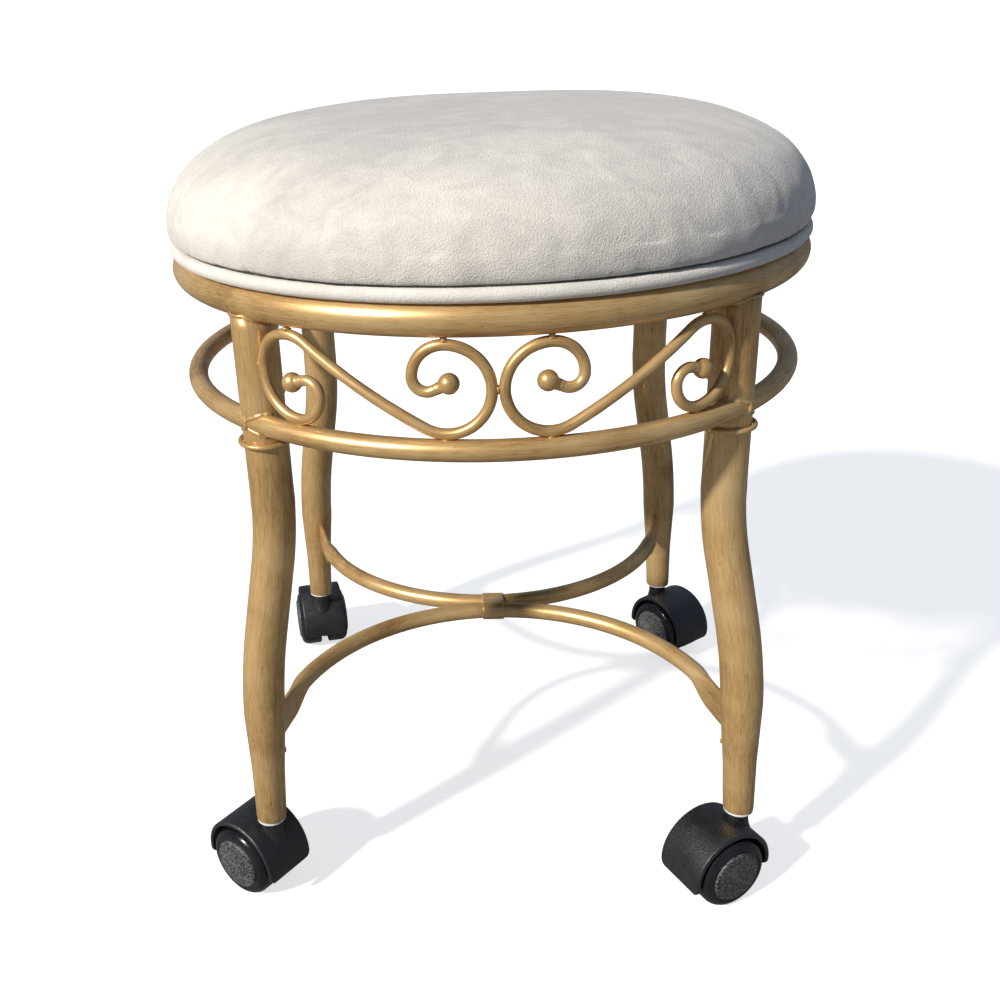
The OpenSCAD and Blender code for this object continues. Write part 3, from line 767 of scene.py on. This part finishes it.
def leg_tube(height):
    """Tube radius of a leg at a height: full down to the straight foot, then tapered in two straight
    runs."""
    return np.interp(height, [FOOT_Z, FOOT_Z + KNEE_UP, TAPER_Z], [FOOT_TUBE, KNEE_TUBE, LEG_R])


def leg(corner, gold):
    """A leg: tube swept down its centreline, coped to the seat ring at the top, drawn in towards the foot,
    and at the foot turned in round the caster's socket. The cope's height is the seat ring's centre less
    the root of its radius squared less the distance from its centreline squared."""
    az = AZIMUTH[corner]
    out = np.array([np.cos(az), np.sin(az), 0])
    across = np.array([-np.sin(az), np.cos(az), 0])
    height = LEG_LINE[:, 1]
    crease = 0.00022 * np.exp(-((height - BEND_Z + 0.004) / 0.004) ** 2)
    tube = leg_tube(height) + crease
    path = LEG_LINE[:, :1] * out + LEG_LINE[:, 1:] * UP
    ring = polar(around(44))
    rows = carried(path, across, tube[:, None, None] * ring)
    rho = np.hypot(rows[0, :, 0], rows[0, :, 1])
    under_ring = RING_Z - np.sqrt(np.maximum(RING_TUBE ** 2 - (rho - RING_R) ** 2, 0)) + 0.0003
    rows[0, :, 2] = np.minimum(LEG_TOP_Z, under_ring)
    t = unit(path[-1] - path[-2])
    inward = np.cross(t, across)
    lip_r = np.array([FOOT_TUBE - 0.0001, FOOT_TUBE - 0.0005, SOCKET_R, SOCKET_R])
    lip_up = np.array([0.0003, 0, 0, SOCKET_LEN])
    lip_at = path[-1] - lip_up[:, None] * t
    lip = lip_at[:, None] + lip_r[:, None, None] * (ring[:, :1] * across + ring[:, 1:] * inward)
    rows[-1] -= 0.0007 * t
    build("leg_tube_" + corner, [skin(np.concatenate([rows, lip]))], [gold], "frame",
          ("leg_" + corner,))


def collars(gold):
    """The wire collars: each a ring of wire round a leg, a little out of true, its two ends butted
    inside."""
    skins = []
    wire, ring_r = 0.0015, LEG_R + 0.0015 + 0.00025
    for number, corner in enumerate(CORNERS):
        a = around(64) + AZIMUTH[corner] + np.pi
        centre = LEG_TOP_R * np.array([*polar(AZIMUTH[corner]), 0]) + COLLAR_Z * UP
        tilt = 0.0004 * np.sin(a + 1.7 * number)
        path = centre + np.concatenate([ring_r * polar(a), tilt[:, None]], 1)
        off_butt = np.minimum(np.arange(64), 64 - np.arange(64)) / 64
        section = wire * (1 + 0.1 * np.exp(-(off_butt / 0.02) ** 2))[:, None, None] * polar(around(14))
        skins.append(skin(carried(path, UP, section, loop=True), loop=True))
    build("leg_wire_collars", skins, [gold], "frame", ("leg_collars",))


def weld_bead(path, outward, size, seed):
    """A bead of weld along a closed line: a thin tube whose size ripples like overlapped drops."""
    a = around(len(path))
    drops = 1 + 0.14 * np.abs(np.sin(9 * a + seed)) + 0.12 * ripple(a, seed, 2, 11)
    section = (size * drops)[:, None, None] * polar(around(10))
    return skin(carried(path, outward, section, loop=True), loop=True)


def weld_beads(gold):
    """Beads where the lower ring and the seat ring meet the legs. Each follows the line where the tubes
    meet."""
    skins = []
    phi = around(72)
    for number, corner in enumerate(CORNERS):
        az = AZIMUTH[corner]
        axis = LEG_TOP_R * np.array([*polar(az), 0])
        rho = ARC_R + ARC_TUBE * np.cos(phi)
        for side in (-1, 1):
            line = arc_point(az + side * reach_of_leg(rho, 0.0009), phi)
            outward = unit((line - axis) * [1, 1, 0])
            size = 0.0019 - 0.0006 * ease((np.cos(phi) - 0.1) / 0.8)
            skins.append(weld_bead(line, outward, size, 2 * number + side + 1))
        line = axis + np.concatenate([LEG_R * polar(phi), np.zeros((72, 1))], 1)
        from_axis = np.hypot(line[:, 0], line[:, 1])
        over = np.maximum(RING_TUBE ** 2 - (from_axis - RING_R) ** 2, 0)
        line[:, 2] = np.minimum(LEG_TOP_Z - 0.0002, RING_Z - np.sqrt(over))
        skins.append(weld_bead(line, unit((line - axis) * [1, 1, 0]), 0.0009, 20 + number))
    build("weld_beads", skins, [gold], "frame")


# ---------------------------------------------------------------- scrolls

def chain(start, heading, runs, step=0.0012):
    """Points of arcs and lines laid end to end in a plane. An arc adds its radius times the change of
    (sin, -cos) of the heading, and a line its length along the heading."""
    at, h = np.array(start, float), np.radians(heading)
    points = [at[None]]
    for size, turn in runs:
        t = np.radians(turn)
        if turn:
            a = h + np.linspace(0, t, max(3, int(abs(size * t) / step)))[1:]
            run = at + np.sign(t) * size * np.stack([np.sin(a) - np.sin(h), np.cos(h) - np.cos(a)], -1)
        else:
            run = at + np.linspace(0, size, 4)[1:, None] * polar(h)
        points.append(run)
        at, h = run[-1], h + t
    return np.concatenate(points)


def on_ring(flat, side, turn):
    """Flat points (arc length, height) wrapped on the lower ring's cylinder, mirrored by side, turned about
    Z."""
    azimuth = -np.pi / 2 + turn + side * flat[..., 0] / ARC_R
    return np.concatenate([ARC_R * polar(azimuth), flat[..., 1:]], -1)


LOOP_TOP = (LOOP_S, LOOP_Z + LOOP_R)
OUTER = chain(LOOP_TOP, 180, OUTER_RUNS)
INNER = chain(LOOP_TOP, 0, INNER_RUNS)
SCROLL_LINE = np.concatenate([INNER[:0:-1], OUTER])


def scroll(name, side, turn, gold):
    """A scroll: one wire bent along its flat line and wrapped on the ring."""
    path = on_ring(SCROLL_LINE, side, turn)
    tube = WIRE * (1 + 0.012 * ripple(np.linspace(0, TURN, len(path)), 31 + side, 5, 40))
    rows = carried(path, path * [1, 1, 0], tube[:, None, None] * polar(around(16)))
    build("scroll_wire_" + name, [skin(rows)], [gold], "frame", ("scroll_" + name,))


def forged_ball(end, before, seed):
    """A ball on a wire's end: a sphere whose back draws in to the wire, by the root of the way along, and
    whose skin is faintly hammered."""
    ahead = unit(end - before)
    centre = end + (BALL - 0.0004) * ahead
    turn = np.linspace(0.1, np.pi - 0.66, 20)
    neck = np.linspace(0, 1, 7)[1:]
    x = np.concatenate([BALL * np.cos(turn), BALL * (np.cos(turn[-1]) - 0.62 * neck)])
    back = BALL * np.sin(turn[-1])
    r = np.concatenate([BALL * np.sin(turn), back + (WIRE - back) * neck ** 0.5])
    a = around(28)
    hammered = 1 + 0.012 * np.sin(3 * a + seed) * np.sin(5 * x[:, None] / BALL + seed)
    upright = unit(np.cross(ahead, [*centre[:2], 0]))
    outward = np.cross(ahead, upright)
    ring = np.cos(a)[None, :, None] * upright + np.sin(a)[None, :, None] * outward
    return skin(centre + x[:, None, None] * ahead + (r[:, None] * hammered)[..., None] * ring)


def scroll_balls(name, turn, gold):
    """Both balls of both scrolls on one side of the stool."""
    skins = []
    for side in (-1, 1):
        for seed, line in enumerate((INNER, OUTER)):
            end, before = on_ring(line[-1], side, turn), on_ring(line[-2], side, turn)
            skins.append(forged_ball(end, before, seed + side))
    build("scroll_ball_ends_" + name, skins, [gold], "frame", ("scroll_balls_" + name,))


def nugget(centre, out, size, seed):
    """A weld nugget: a flattened ball with a lumpy skin."""
    turn = np.linspace(0.15, np.pi - 0.15, 12)[:, None]
    a = around(18)
    lumps = 1 + 0.09 * np.sin(2 * a + seed) * np.sin(3 * turn + seed) + 0.06 * np.sin(5 * a - seed)
    side = np.cross(UP, out)
    x, y, z = np.cos(turn) + 0 * a, np.sin(turn) * np.cos(a), np.sin(turn) * np.sin(a)
    grid = x[..., None] * UP + y[..., None] * side + 0.85 * z[..., None] * out
    return skin(centre + size * lumps[..., None] * grid)


def spool(foot, height, waist, flare):
    """A short upright weld between two tubes, thin in the middle and flared to both."""
    t = np.linspace(0, 1, 14)
    radius = waist + flare * np.abs(2 * t - 1) ** 2.5
    rows = revolved(np.stack([radius, t * height], -1), 18)
    return skin(rows + foot)


def scroll_welds(gold):
    """Welds of the scrolls: to each other, to the lower ring and the leg, and up to the seat ring."""
    drop = 0.0024
    low_z = ARC_Z + ARC_TUBE + 0.0003
    side_end = chain(LOOP_TOP, 180, OUTER_RUNS[:3])[-1]
    low_end = chain(LOOP_TOP, 180, OUTER_RUNS[:5])[-1]
    spots = np.array([[LOOP_S, low_z], [low_end[0], low_z], side_end + [WIRE - 0.0006, 0]])
    stub_z = LOOP_TOP[1] + WIRE - 0.0008
    tops = np.array([[LOOP_S, stub_z], [side_end[0] - OUTER_RUNS[2][0], stub_z]])
    stub_h = RING_Z - RING_TUBE + 0.0012 - stub_z
    skins = []
    for turn in (0, np.pi):
        middle = on_ring(np.array([0, LOOP_Z]), 1, turn)
        skins.append(nugget(middle, unit(middle * [1, 1, 0]), drop, 1 + turn))
        for side in (-1, 1):
            for seed, spot in enumerate(on_ring(spots, side, turn)):
                skins.append(nugget(spot, unit(spot * [1, 1, 0]), drop, seed + side + turn))
            for spot in on_ring(tops, side, turn):
                skins.append(spool(spot, stub_h, 0.0017, 0.0012))
    build("scroll_weld_nuggets", skins, [gold], "frame", ("scroll_welds",))


# ---------------------------------------------------------------- stretchers

def leg_at(height):
    """Distance from the stool's axis and tube radius of a leg's straight foot at a height."""
    return FOOT_R - (height - FOOT_Z) * np.tan(FOOT_SPLAY), leg_tube(height)


def stretcher(name, turn, gold):
    """A stretcher: a bowed tube whose ends are pressed to upright plates. The section is an oval of half
    height h and half width w with |cos| and |sin| to a power that falls from 1, a circle, towards a box. A
    plate hangs below the tube, its top level with the tube's, and its lines run on straight until they meet
    the leg: where a line crosses the leg's circle is the root of a quadratic."""
    end = np.radians(14)
    a = np.linspace(np.pi - end, end, 110)
    bow = np.concatenate([STRETCH_R * polar(a), np.full((110, 1), STRETCH_Z)], 1)
    bow[:, 1] -= STRETCH_R + STRETCH_Y
    from_end = np.minimum(a - end, np.pi - end - a) * STRETCH_R
    flat = 1 - ease(from_end / 0.019)
    sides = around(36)
    power = (1 - 0.62 * flat)[:, None]
    shape = np.sign(polar(sides)) * np.abs(polar(sides)) ** power[..., None]
    half = STRETCH_TUBE + flat[:, None] * (np.array([PLATE_H, PLATE_T]) - STRETCH_TUBE)
    drop = np.outer(STRETCH_TUBE - half[:, 0], UP)
    rows = carried(bow + drop, UP, shape * half[:, None])
    plates = []
    for edge, corner in ((0, "front_left"), (-1, "front_right")):
        ahead = unit(bow[edge] - bow[1 if edge == 0 else -2])
        begin = rows[edge]
        distance, tube = leg_at(begin[:, 2])
        hub = distance[:, None] * polar(AZIMUTH[corner])
        gap = begin[:, :2] - hub
        near = (gap * ahead[:2]).sum(1)
        root = near ** 2 - (gap ** 2).sum(1) + (tube - 0.0005) ** 2
        length = -near - np.sqrt(np.maximum(root, 0))
        share = np.linspace(0, 1, 12)[1:, None, None]
        plates.append(begin + share * length[None, :, None] * ahead)
    rows = np.concatenate([plates[0][::-1], rows, plates[1]])
    rows = turned(rows, turn, (0, 0))
    build("stretcher_tube_" + name, [skin(rows)], [gold], "frame", ("stretcher_" + name,))


def sleeve(gold):
    """The clamp: a band pressed round both tubes, with its edges rolled over. Its circle is moved to either
    side by tanh of the cosine, which is flat over each tube, and pinched by exp(-y^2) between them."""
    wall, roll, squareness = 0.00115, 0.0007, 4
    a = around(72)
    x, inset = rolled_ends(-CLAMP_LEN / 2, CLAMP_LEN / 2, roll, roll, 7)
    radius = STRETCH_TUBE + wall - inset
    shift = STRETCH_Y * np.tanh(squareness * np.cos(a)) / np.tanh(squareness)
    y = shift + radius * np.cos(a)
    pinch = 1 - 0.05 * np.exp(-(y / 0.003) ** 2)
    rows = np.stack([x[:, None] + 0 * y, y, STRETCH_Z + pinch * radius * np.sin(a)], -1)
    build("stretcher_sleeve", [skin(rows)], [gold], "frame", ("stretcher_clamp",))


# ---------------------------------------------------------------- casters

def fender():
    """The hood's bent strip: a rounded box section carried round the wheels, a thin bead along both its
    edges, its tips rolled over and their corners rounded. A corner takes off its radius less the root of
    the radius squared less the distance into it squared."""
    low, high = np.radians([-14, 191])
    roll, corner, bead, bead_in = 0.001, 0.005, 0.0006, 0.0011
    a, inset = rolled_ends(low, high, roll / FENDER_R, roll, 120)
    short = np.maximum(corner - np.minimum(a - low, high - a)[:, None] * FENDER_R, 0)
    round_off = inset + corner - np.sqrt(corner ** 2 - short ** 2)
    path = np.stack([TRAIL + FENDER_R * np.cos(a), 0 * a, WHEEL_R + FENDER_R * np.sin(a)], -1)
    box = rounded_box(FENDER_T, FENDER_W, 0.0009)
    off_bead = np.abs(box[:, 1]) - FENDER_W / 2 + bead_in
    edge = bead * np.exp(-(off_bead / 0.0007) ** 2) * (box[:, 0] > 0)
    thick = (box[:, 0] + edge) * (1 - 2 * inset / FENDER_T)
    wide = box[:, 1] * (1 - 2 * round_off / FENDER_W)
    return carried(path, path - [TRAIL, 0, WHEEL_R], np.stack([thick, wide], -1))


def neck():
    """The hood's neck: a round boss that flares as it comes down, to just under the fender's surface, with
    its top edge rolled. The fender is a circle in the XZ plane, so its height over x is a square root."""
    roll = 0.0006
    a = around(56)
    foot_x = (NECK_R + 0.003) * np.cos(a)
    low = WHEEL_R + np.sqrt((FENDER_R + 0.0002) ** 2 - (foot_x - TRAIL) ** 2)
    t = np.linspace(0, 1, 18)[:, None]
    z = low + t * (NECK_TOP - roll - low)
    flare = 0.0018 * np.clip((0.0515 - z) / 0.0095, 0, 1.1) ** 1.7
    radius = NECK_R + flare
    bend = np.linspace(0, np.pi / 2, 5)[1:, None]
    z = np.concatenate([z, NECK_TOP - roll + roll * np.sin(bend) + 0 * a])
    radius = np.concatenate([radius, NECK_R - roll * (1 - np.cos(bend)) + 0 * a])
    return np.stack([radius * np.cos(a), radius * np.sin(a), z], -1)


def web():
    """The hood's middle plate, between the wheels: a disc cut off level below the axle, with its edges
    eased."""
    radius, cut, half, soft = 0.0270, 0.017, 0.0025, 0.0003
    low = np.arcsin((cut - WHEEL_R) / radius)
    a = np.linspace(low, np.pi - low, 60)
    disc = radius * polar(a)
    chord = np.linspace(disc[-1], disc[0], 12)[1:-1]
    outline = np.concatenate([disc, chord])
    y = np.array([-half, -half + soft, half - soft, half])[:, None]
    shrink = np.array([1 - soft / radius, 1, 1, 1 - soft / radius])[:, None]
    x, z = TRAIL + shrink * outline[:, 0], WHEEL_R + shrink * outline[:, 1]
    return np.stack([x, y + 0 * x, z], -1)


def hood(corner, nylon):
    """A caster's hood: fender, neck and middle plate."""
    skins = [skin(turned(rows, YAW[corner], FOOT[corner])) for rows in (fender(), neck(), web())]
    build("caster_hood_" + corner, skins, [nylon], "caster_" + corner, ("hood_" + corner,))


def wheel(corner, place, side, tread, disc):
    """A wheel turned from its section: blind bore, flat inner face, tread, round glossy shoulder, a groove,
    and a raised, grained disc. The shoulder and the disc's edge are arcs, and the disc is crowned by its
    radius squared."""
    bore, inner, outer, disc_r, crowning = 0.00255, 0.0033, 0.022, 0.0149, 0.00035
    ease_in = [[WHEEL_R - 0.0012, inner], [WHEEL_R - 0.0009, inner], [WHEEL_R - 0.0003, inner + 0.0003],
               [WHEEL_R, inner + 0.001]]
    shoulder = np.array([0.018, 0.0145]) + 0.006 * polar(np.linspace(0, np.radians(78), 16))
    groove = [[0.0183, 0.02025], [0.01785, 0.0199], [0.0173, 0.0199], [0.0170, 0.0201]]
    rim = np.array([0.0155, 0.0202]) + 0.0014 * polar(np.linspace(0, np.radians(82), 8))
    r = np.linspace(disc_r, 0.0006, 9)
    face = np.stack([r, outer - crowning * (r / disc_r) ** 2], -1)
    start = [[bore, outer - 0.0025], [bore, inner + 0.0002], [bore + 0.0002, inner], [0.012, inner]]
    profile = np.concatenate([start, ease_in, shoulder, groove, rim, face])
    plain = len(start) + len(ease_in) + len(shoulder) + len(groove) - 1
    bands = (np.arange(len(profile) - 1) >= plain).astype(int)
    a = around(88)
    radius, y = profile[:, :1], side * profile[:, 1:]
    rows = np.stack([TRAIL + radius * np.cos(a), y + 0 * a, WHEEL_R + radius * np.sin(a)], -1)
    rows = turned(rows, YAW[corner], FOOT[corner])
    name = place + "_" + corner
    build("turned_" + name, [skin(rows, bands=bands)], [tread, disc], name, (name,))


# ---------------------------------------------------------------- the stool

def refinish(nodes, finish):
    """Gives CAD nodes that stay in view their finish."""
    for node in nodes:
        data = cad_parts[node].data
        if not len(data.materials):
            data.materials.append(finish)
        for index in range(len(data.materials)):
            data.materials[index] = finish


camera()
surround()
lights()
pale_floor()
bpy.context.scene.view_settings.view_transform = "Standard"

gold = antique_gold("antique_gold", "grain", 48)
gold_plate = antique_gold("antique_gold_fittings", "object", 300)
suede = ivory_suede(
    "ivory_suede", dark=(0.53, 0.505, 0.48), mid=(0.68, 0.645, 0.60), light=(0.80, 0.765, 0.71),
    nap_depth=0.001)
piping_suede = ivory_suede(
    "piping_suede", dark=(0.62, 0.59, 0.55), mid=(0.72, 0.69, 0.64), light=(0.80, 0.77, 0.72),
    nap_depth=0.0008)
steel = zinc_steel()
nylon = moulded(
    "black_nylon", dark=(0.004, 0.0045, 0.006), light=(0.016, 0.017, 0.020), rough=(0.36, 0.52),
    grain_scale=950, depth=0.0003, speck=0.6, gloss=0.8)
tread_nylon = moulded(
    "gloss_nylon", dark=(0.005, 0.0055, 0.007), light=(0.012, 0.0125, 0.014), rough=(0.13, 0.24),
    grain_scale=700, depth=0.00003)
disc_nylon = moulded(
    "grained_nylon", dark=(0.008, 0.009, 0.010), light=(0.15, 0.156, 0.162), rough=(0.34, 0.5),
    grain_scale=820, depth=0.0006, speck=0.85)
white_nylon = moulded(
    "white_nylon", dark=(0.72, 0.71, 0.68), light=(0.82, 0.81, 0.79), rough=(0.35, 0.5),
    grain_scale=900, depth=0.00004)

cushion(suede)
cover_hem(suede)
piping(piping_suede)
dust_cover(dust_cloth())
staples(steel)
seat_ring(gold)
for side in SIDES:
    lower_arc(side, gold)
for corner in CORNERS:
    leg(corner, gold)
collars(gold)
weld_beads(gold)
for name, turn, left in (("front", 0, -1), ("rear", np.pi, 1)):
    scroll(name + "_left", left, turn, gold)
    scroll(name + "_right", -left, turn, gold)
    scroll_balls(name, turn, gold)
    stretcher(name, turn, gold)
scroll_welds(gold)
sleeve(gold)
for corner in CORNERS:
    hood(corner, nylon)
    wheel(corner, "wheel_inner", 1, tread_nylon, disc_nylon)
    wheel(corner, "wheel_outer", -1, tread_nylon, disc_nylon)

refinish(["seat_board"], plywood())
refinish(["seat_lugs", "leg_screws"], gold_plate)
refinish(["seat_screws"] + [kind + c for kind in ("stem_", "axle_") for c in CORNERS], steel)
refinish(["socket_" + c for c in CORNERS], white_nylon)
